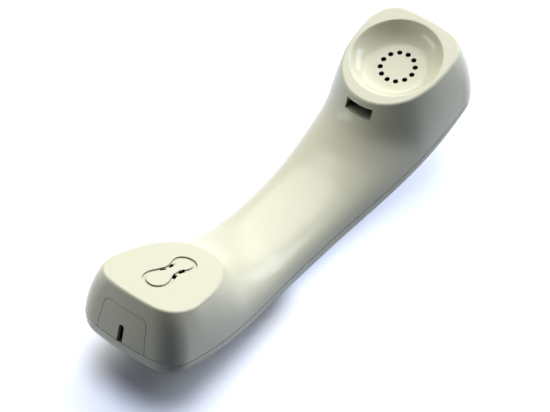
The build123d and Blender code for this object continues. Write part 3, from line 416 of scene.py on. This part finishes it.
def painted_board(studio):
    """Board painted with a roller: pale, matt and faintly stippled. Seen directly it carries a
    painted glow that makes it nearly white and covers the handset's shadow, but for the shadow
    under the mouth end. It throws back little light."""
    made = empty_material("painted_board_floor")
    tree = made.node_tree
    seen = seen_directly(tree)
    place = node(tree, "ShaderNodeTexCoord").outputs["Object"]
    stipple = node(tree, "ShaderNodeTexNoise", {
        "Vector": place, "Scale": per_metre(STIPPLE_SIZE)})
    bump = node(tree, "ShaderNodeBump", {
        "Height": stipple.outputs["Fac"], "Distance": STIPPLE_DEPTH})
    tone = node(tree, "ShaderNodeMix", {
        "Factor": seen, 6: opaque(studio.floor_bounce), 7: opaque(studio.floor_colour)},
        data_type="RGBA")
    matt = node(tree, "ShaderNodeBsdfDiffuse", {
        "Color": tone.outputs[2], "Normal": bump.outputs["Normal"]})

    # The painted glow grows with the distance outside the box that keeps the real shadow
    from_shadow = node(tree, "ShaderNodeVectorMath", {0: place, 1: SHADOW_MIDDLE},
                       operation="SUBTRACT")
    mirrored = node(tree, "ShaderNodeVectorMath", {0: from_shadow.outputs["Vector"]},
                    operation="ABSOLUTE")
    beyond = node(tree, "ShaderNodeVectorMath", {0: mirrored.outputs["Vector"], 1: SHADOW_HALF},
                  operation="SUBTRACT")
    outside = node(tree, "ShaderNodeVectorMath", {
        0: beyond.outputs["Vector"], 1: (0.0, 0.0, 0.0)}, operation="MAXIMUM")
    away = node(tree, "ShaderNodeVectorMath", {0: outside.outputs["Vector"]}, operation="LENGTH")
    painted_wash = node(tree, "ShaderNodeMapRange", {"Value": away.outputs["Value"], **PAINTED_WASH},
                interpolation_type="SMOOTHSTEP")
    # Painted glow: bluish emission on the floor, seen directly, that lifts the shadow outside the
    # box to white
    painted_glow = node(tree, "ShaderNodeEmission", {
        "Color": opaque(linear(PAINTED_WASH_COLOUR)), "Strength": painted_wash.outputs["Result"]})
    lifted = node(tree, "ShaderNodeAddShader", {
        0: matt.outputs["BSDF"], 1: painted_glow.outputs["Emission"]})
    shown = node(tree, "ShaderNodeMixShader", {
        "Fac": seen, 1: matt.outputs["BSDF"], 2: lifted.outputs["Shader"]})
    node(tree, "ShaderNodeOutputMaterial", {"Surface": shown.outputs["Shader"]})
    return made


def lay_floor(scene, studio):
    """Lays the square floor under the handset."""
    mesh = bmesh.new()
    bmesh.ops.create_grid(mesh, x_segments=FLOOR_CELLS, y_segments=FLOOR_CELLS,
                          size=studio.floor_size / 2)
    data = bpy.data.meshes.new("floor")
    mesh.to_mesh(data)
    mesh.free()
    data.materials.append(painted_board(studio))
    floor = bpy.data.objects.new("floor", data)
    scene.collection.objects.link(floor)
    floor.location.z = -FLOOR_DROP


def hang_softbox(scene, name, place, aim, size, power, tint):
    """Hangs one softbox at place, turned towards aim."""
    lamp = bpy.data.lights.new(name, "AREA")
    lamp.shape = "RECTANGLE"
    lamp.size, lamp.size_y = size
    lamp.energy = power
    lamp.color = tint
    stand = bpy.data.objects.new(name, lamp)
    scene.collection.objects.link(stand)
    stand.location = place
    stand.rotation_mode = "QUATERNION"
    stand.rotation_quaternion = (Vector(aim) - Vector(place)).to_track_quat("-Z", "Y")


def white_room(scene, studio):
    """Puts a dim bluish room round the handset, which looks white where it is seen directly."""
    world = bpy.data.worlds.new("white_room")
    scene.world = world
    world.use_nodes = True
    tree = world.node_tree
    tree.nodes.clear()
    seen = seen_directly(tree)
    room = node(tree, "ShaderNodeBackground", {
        "Color": opaque(studio.sky), "Strength": studio.sky_strength})
    white = node(tree, "ShaderNodeBackground", {
        "Color": opaque(linear("#FFFFFF")), "Strength": 1.0})
    shown = node(tree, "ShaderNodeMixShader", {
        "Fac": seen, 1: room.outputs["Background"], 2: white.outputs["Background"]})
    node(tree, "ShaderNodeOutputWorld", {"Surface": shown.outputs["Shader"]})


def set_up_camera(scene, studio):
    """Stands the camera where the photograph was taken from, and makes it the scene's own."""
    back = Vector((math.sin(studio.azimuth) * math.cos(studio.elevation),
                   -math.cos(studio.azimuth) * math.cos(studio.elevation),
                   math.sin(studio.elevation)))
    right = Vector((math.cos(studio.azimuth), math.sin(studio.azimuth), 0.0))
    up = back.cross(right)
    eye = bpy.data.cameras.new("camera")
    eye.sensor_width = SENSOR_WIDTH
    eye.lens = studio.lens
    eye.clip_start, eye.clip_end = CAMERA_NEAR, CAMERA_FAR
    camera = bpy.data.objects.new("camera", eye)
    scene.collection.objects.link(camera)
    camera.matrix_world = Matrix.Translation(CAMERA_TARGET + back * studio.distance) @ Matrix(
        (right, up, back)).transposed().to_4x4()
    scene.camera = camera


# Settings

class HandsetFinish(bpy.types.PropertyGroup):
    """Colours and sizes of the plastic's finish."""

    ivory: FloatVectorProperty(
        name="Ivory", description="Colour of the shells' plastic", subtype="COLOR", size=3,
        default=linear("#EDECD1"), min=0.0, max=1.0)
    aged: FloatVectorProperty(
        name="Aged ivory", description="Colour that the plastic drifts to in places",
        subtype="COLOR", size=3, default=linear("#E9E7C9"), min=0.0, max=1.0)
    # Painted shade: the groove colour, partly dust and partly painted shade where the grooves are
    # shut in
    groove_dust_and_shade: FloatVectorProperty(
        name="Dust", description="Colour of the dust in grooves", subtype="COLOR", size=3,
        default=linear("#6F6A5C"), min=0.0, max=1.0)
    # Painted shade: the near-black colour painted down the holes and slots
    hole_shade: FloatVectorProperty(
        name="Grime", description="Colour of the dirt down the holes and slots",
        subtype="COLOR", size=3, default=linear("#15140F"), min=0.0, max=1.0)
    drift_size: FloatProperty(
        name="Drift size", description="Size of the slow changes of tone", unit="LENGTH",
        default=45 * MM, min=5 * MM)
    # How far the painted groove shade and dust reach
    groove_shade_reach: FloatProperty(
        name="Dust reach", description="Width of the grooves that hold dust", unit="LENGTH",
        default=0.9 * MM, min=0.1 * MM)
    # How deep the holes and slots are that take the painted shade
    hole_shade_reach: FloatProperty(
        name="Grime reach", description="Depth of the holes and slots that hold dirt",
        unit="LENGTH", default=7 * MM, min=0.5 * MM)
    grain_size: FloatProperty(
        name="Grain size", description="Size of the sparked grain, drawn coarser than it is",
        unit="LENGTH", default=0.45 * MM, min=0.05 * MM)
    grain_depth: FloatProperty(
        name="Grain depth", description="Height of the sparked grain", unit="LENGTH",
        default=0.010 * MM, min=0.0)
    roughness: FloatProperty(
        name="Roughness", description="Mean roughness of the plastic", subtype="FACTOR",
        default=0.25, min=0.0, max=1.0)
    polished: FloatProperty(
        name="Polished roughness", description="Roughness of the polished dish",
        subtype="FACTOR", default=0.13, min=0.0, max=1.0)


class HandsetDetails(bpy.types.PropertyGroup):
    """Sizes of the small pieces inside."""

    joint_radius: FloatProperty(
        name="Solder joint radius", description="Radius of a solder joint on its pad",
        unit="LENGTH", default=0.62 * MM, min=0.2 * MM)
    joint_height: FloatProperty(
        name="Solder joint height", description="Height that the solder climbs its wire",
        unit="LENGTH", default=0.9 * MM, min=0.2 * MM)
    tape_width: FloatProperty(
        name="Tape width", description="Width of the cloth tape over the lead", unit="LENGTH",
        default=8 * MM, min=2 * MM)
    tape_thickness: FloatProperty(
        name="Tape thickness", description="Thickness of the cloth tape", unit="LENGTH",
        default=0.14 * MM, min=0.05 * MM)


class HandsetStudio(bpy.types.PropertyGroup):
    """Floor, light and camera."""

    floor_colour: FloatVectorProperty(
        name="Floor", description="Colour of the floor as the camera sees it",
        subtype="COLOR", size=3, default=linear("#F7F7F7"), min=0.0, max=1.0)
    floor_bounce: FloatVectorProperty(
        name="Floor bounce", description="Colour that the floor throws back on the handset",
        subtype="COLOR", size=3, default=linear("#34373F"), min=0.0, max=1.0)
    floor_size: FloatProperty(
        name="Floor size", description="Side of the square floor", unit="LENGTH",
        default=6.0, min=1.0)
    sky: FloatVectorProperty(
        name="Room light", description="Colour of the light from the room",
        subtype="COLOR", size=3, default=linear("#7F9BE0"), min=0.0, max=1.0)
    sky_strength: FloatProperty(
        name="Room light strength", description="Strength of the light from the room",
        default=0.04, min=0.0)
    key_power: FloatProperty(
        name="Key power", description="Power of the large softbox above and behind",
        unit="POWER", default=105.0, min=0.0)
    left_power: FloatProperty(
        name="Left power", description="Power of the softbox on the mouthpiece's side",
        unit="POWER", default=5.6, min=0.0)
    right_power: FloatProperty(
        name="Right power", description="Power of the softbox on the earpiece's side",
        unit="POWER", default=3.6, min=0.0)
    azimuth: FloatProperty(
        name="Camera azimuth", description="Direction of the camera round the handset",
        unit="ROTATION", default=math.radians(-51.069))
    elevation: FloatProperty(
        name="Camera elevation", description="Height of the camera above the horizon",
        unit="ROTATION", default=math.radians(47.582))
    distance: FloatProperty(
        name="Camera distance", description="Distance from the camera to what it looks at",
        unit="LENGTH", default=1.045413, min=0.1)
    lens: FloatProperty(
        name="Lens", description="Focal length on a 36 mm wide sensor", unit="CAMERA",
        default=175.184, min=10.0)


# Steps

class HANDSET_OT_shells(bpy.types.Operator):
    """Finish the two shells and the cord cover as moulded ivory plastic"""

    bl_idname = "handset.shells"
    bl_label = "Shells and cord cover"

    def execute(self, context):
        dress(moulded_abs(context.scene.handset_finish),
              "front_shell", "rear_shell", "cord_cover")
        return {"FINISHED"}


class HANDSET_OT_metalwork(bpy.types.Operator):
    """Finish the case screws and the balance weight"""

    bl_idname = "handset.metalwork"
    bl_label = "Screws and weight"

    def execute(self, context):
        # Zinc-plated steel, rolled and driven: bright, faintly blue and straw in patches
        dress(surface("zinc_plated_steel_screw", ("#C4C6C6", "#BDB9A8"), patch=1.6, grain=0.25,
                      depth=0.004, rough=0.33, spread=0.08, Metallic=1.0), "case_screws")
        # Hot-rolled steel bar, sheared and tumbled: dull grey mill scale with rubbed streaks
        dress(surface("tumbled_steel_bar", ("#6F7175", "#5B5A58"), patch=7.0, grain=0.6,
                      depth=0.02, rough=0.5, spread=0.12, stretch=(0.15, 1, 1), shade=0.2,
                      Metallic=1.0), "handset_weight")
        return {"FINISHED"}


class HANDSET_OT_receiver(bpy.types.Operator):
    """Finish the receiver capsule behind the ear holes"""

    bl_idname = "handset.receiver"
    bl_label = "Receiver"

    def execute(self, context):
        # Woven polyester mesh: black threads over and under each other. They are 0.1 mm apart,
        # and drawn 2.2 mm apart, because the photograph's pixels are about 0.4 mm wide.
        dress(surface("woven_polyester_receiver", ("#26262A", "#1D1D20"), patch=5.0, grain=2.2,
                      depth=0.06, rough=0.85, spread=0.05, pattern="weave", shade=0.6,
                      Sheen_Weight=0.3), "receiver_dust_cloth")
        # Die-cut sponge rubber: matt black with a fine closed grain
        dress(surface("die_cut_rubber", ("#212122", "#2A2A2B"), patch=4.0, grain=0.3,
                      depth=0.03, rough=0.8, spread=0.06), "receiver_gasket")
        # Glass-filled nylon, moulded: satin black with swirls of the flow
        dress(surface("moulded_nylon_black", ("#191A1C", "#232427"), patch=6.0, grain=0.4,
                      depth=0.012, rough=0.46, spread=0.08),
              "receiver_front_cap", "receiver_frame")
        # Polyester film, hot formed: a pale amber skin, glossy and faintly puckered
        dress(surface("formed_polyester_film", ("#CFC6A6", "#C6BC98"), patch=8.0, grain=1.1,
                      depth=0.05, rough=0.22, spread=0.05, pattern="cells",
                      Specular_IOR_Level=0.6), "receiver_diaphragm")
        # Enamelled copper wire, wound: warm turns under clear varnish. They are 0.1 mm apart,
        # and drawn 1.9 mm apart.
        dress(surface("enamelled_copper_winding", ("#C06B3A", "#A95528"), patch=2.0,
                      grain=1.885, depth=0.04, rough=0.3, spread=0.05, pattern="turns",
                      shade=0.4, Metallic=1.0, Coat_Weight=0.5), "voice_coil")
        # Zinc-plated steel, pressed: satin grey with a fine grain
        dress(surface("zinc_plated_pressed_steel", ("#B7BAB9", "#A7A69D"), patch=3.0, grain=0.4,
                      depth=0.01, rough=0.36, spread=0.08, Metallic=1.0),
              "receiver_yoke", "receiver_pole_plate")
        # Sintered magnet, nickel plated: bright with a slightly uneven skin
        dress(surface("nickel_plated_magnet", ("#B9B6AE", "#ACA9A2"), patch=1.5, grain=0.2,
                      depth=0.006, rough=0.24, spread=0.06, Metallic=1.0), "receiver_magnet")
        # Paper phenolic board, punched: brown with fibres that run one way
        dress(surface("paper_phenolic_board", ("#8A5A2C", "#74471F"), patch=2.0, grain=0.5,
                      depth=0.01, rough=0.5, spread=0.08, stretch=(1, 0.1, 1), shade=0.25),
              "receiver_terminals")
        # Epoxy, dipped: a deep blue gloss that pooled as it cured
        dress(surface("dipped_epoxy_blue", ("#1F3F86", "#193671"), patch=2.0, grain=1.4,
                      depth=0.05, rough=0.16, spread=0.05), "varistor")
        # Open-cell foam, cut: a matt grey sponge of small pits
        dress(surface("open_cell_foam", ("#3A3A3D", "#303033"), patch=5.0, grain=0.7, depth=0.3,
                      rough=0.95, spread=0.03, pattern="cells", shade=0.6), "receiver_foam_pad")
        return {"FINISHED"}


class HANDSET_OT_microphone(bpy.types.Operator):
    """Finish the microphone, its boot and its board"""

    bl_idname = "handset.microphone"
    bl_label = "Microphone"

    def execute(self, context):
        # Woven polyester mesh, a little finer than the receiver's: its threads are drawn 1.9 mm
        # apart
        dress(surface("woven_polyester_mic", ("#232326", "#1B1B1D"), patch=4.0, grain=1.885,
                      depth=0.05, rough=0.85, spread=0.05, pattern="weave", shade=0.6,
                      Sheen_Weight=0.3), "mic_dust_cloth")
        # Soft rubber, moulded: dark with a dry bloom in patches
        dress(surface("moulded_soft_rubber", ("#1E1E1F", "#2B2B2D"), patch=3.0, grain=0.5,
                      depth=0.02, rough=0.68, spread=0.08), "mic_boot")
        # Pressed felt: black with short fibres that catch the light
        dress(surface("pressed_felt", ("#19191A", "#242425"), patch=1.5, grain=0.18, depth=0.08,
                      rough=0.95, spread=0.03, stretch=(1, 0.35, 1), shade=0.4,
                      Sheen_Weight=0.5), "mic_felt")
        # Aluminium, drawn into a can: satin, with faint rings left by the die, drawn 1.9 mm apart
        dress(surface("drawn_aluminium_can", ("#C9CBCD", "#BCBEC1"), patch=2.5, grain=1.885,
                      depth=0.008, rough=0.3, spread=0.06, pattern="turns", shade=0.08,
                      Metallic=1.0), "mic_capsule")
        # The receiver's board again, cut with its fibres the other way
        dress(surface("paper_phenolic_disc", ("#8A5A2C", "#74471F"), patch=2.0, grain=0.5,
                      depth=0.01, rough=0.5, spread=0.08, stretch=(0.1, 1, 1), shade=0.25),
              "mic_terminal_board")
        return {"FINISHED"}


class HANDSET_OT_socket(bpy.types.Operator):
    """Finish the cord socket, its contacts and the two leads"""

    bl_idname = "handset.socket"
    bl_label = "Cord socket and leads"

    def execute(self, context):
        # Nylon, moulded: near black with a soft gloss
        dress(surface("moulded_nylon_socket", ("#17181A", "#202124"), patch=5.0, grain=0.35,
                      depth=0.01, rough=0.42, spread=0.07), "cord_socket")
        # Phosphor bronze wire, gold plated: warm and bright, dulled where the plug rubs
        dress(surface("gold_plated_bronze_wire", ("#DDB25C", "#C79A48"), patch=1.2, grain=0.2,
                      depth=0.003, rough=0.24, spread=0.08, Metallic=1.0), "socket_contacts")
        # PVC, extruded over two wires: dark red with faint lines along its length
        dress(surface("extruded_pvc_lead", ("#7C1F1A", "#6C1814"), patch=9.0, grain=0.3,
                      depth=0.01, rough=0.42, spread=0.06, stretch=(0.08, 1, 1), shade=0.12),
              "receiver_lead", "mic_lead")
        return {"FINISHED"}


class HANDSET_OT_details(bpy.types.Operator):
    """Add the solder joints on the two boards and the tape that holds the lead"""

    bl_idname = "handset.details"
    bl_label = "Solder joints and tape"

    def execute(self, context):
        sizes = context.scene.handset_details
        # Tin-lead solder, melted on: bright and slightly frosted
        solder = surface("melted_solder", ("#BFC0C2", "#ACADB0"), patch=0.5, grain=0.15,
                         depth=0.006, rough=0.3, spread=0.1, Metallic=1.0)
        solder_joints("solder_joints_receiver", EAR_POINT, EAR_TILT, RECEIVER_PADS, solder, sizes)
        solder_joints("solder_joints_mic", MOUTH_POINT, MOUTH_TILT, MIC_PADS, solder, sizes)
        # Acetate cloth tape, slit and glued: cream and matt, its threads drawn 1.9 mm apart
        tape = surface("acetate_cloth_tape", ("#D8CFB2", "#CBC1A2"), patch=4.0, grain=1.885,
                       depth=0.04, rough=0.7, spread=0.06, pattern="weave", shade=0.3,
                       Sheen_Weight=0.2)
        lead_tape(tape, sizes)
        return {"FINISHED"}


class HANDSET_OT_stage(bpy.types.Operator):
    """Set up the pale floor, the soft lights, the white room and the camera"""

    bl_idname = "handset.stage"
    bl_label = "Studio"

    def execute(self, context):
        scene = context.scene
        studio = scene.handset_studio
        lay_floor(scene, studio)
        for name, place, aim, size, power, tint in SOFTBOXES:
            hang_softbox(scene, name, place, aim, size, getattr(studio, power), tint)
        white_room(scene, studio)
        set_up_camera(scene, studio)
        scene.view_settings.view_transform = "Standard"
        return {"FINISHED"}


class HANDSET_PT_panel(bpy.types.Panel):
    """Lists the steps that finish the handset, with their sizes and colours"""

    bl_idname = "HANDSET_PT_panel"
    bl_label = "Telephone handset"
    bl_space_type = "VIEW_3D"
    bl_region_type = "UI"
    bl_category = "Handset"

    def draw(self, context):
        for step in STEPS:
            self.layout.operator(step.bl_idname)
        for title in GROUPS:
            group = getattr(context.scene, title)
            box = self.layout.box()
            for name in group.bl_rna.properties.keys():
                if name not in ("rna_type", "name"):
                    box.prop(group, name)


STEPS = (HANDSET_OT_shells, HANDSET_OT_metalwork, HANDSET_OT_receiver, HANDSET_OT_microphone,
         HANDSET_OT_socket, HANDSET_OT_details, HANDSET_OT_stage)
GROUPS = {"handset_finish": HandsetFinish, "handset_details": HandsetDetails,
          "handset_studio": HandsetStudio}
CLASSES = (*GROUPS.values(), *STEPS, HANDSET_PT_panel)


def register():
    """Registers every class and hangs the settings on the scene."""
    for made in CLASSES:
        bpy.utils.register_class(made)
    for name, group in GROUPS.items():
        setattr(bpy.types.Scene, name, PointerProperty(type=group))


def unregister():
    """Takes the settings off the scene and the classes out again."""
    for name in GROUPS:
        delattr(bpy.types.Scene, name)
    for made in reversed(CLASSES):
        bpy.utils.unregister_class(made)


def main():
    """Finishes the handset step by step."""
    register()
    bpy.ops.handset.shells()
    bpy.ops.handset.metalwork()
    bpy.ops.handset.receiver()
    bpy.ops.handset.microphone()
    bpy.ops.handset.socket()
    bpy.ops.handset.details()
    bpy.ops.handset.stage()


if __name__ == "__main__":
    main()
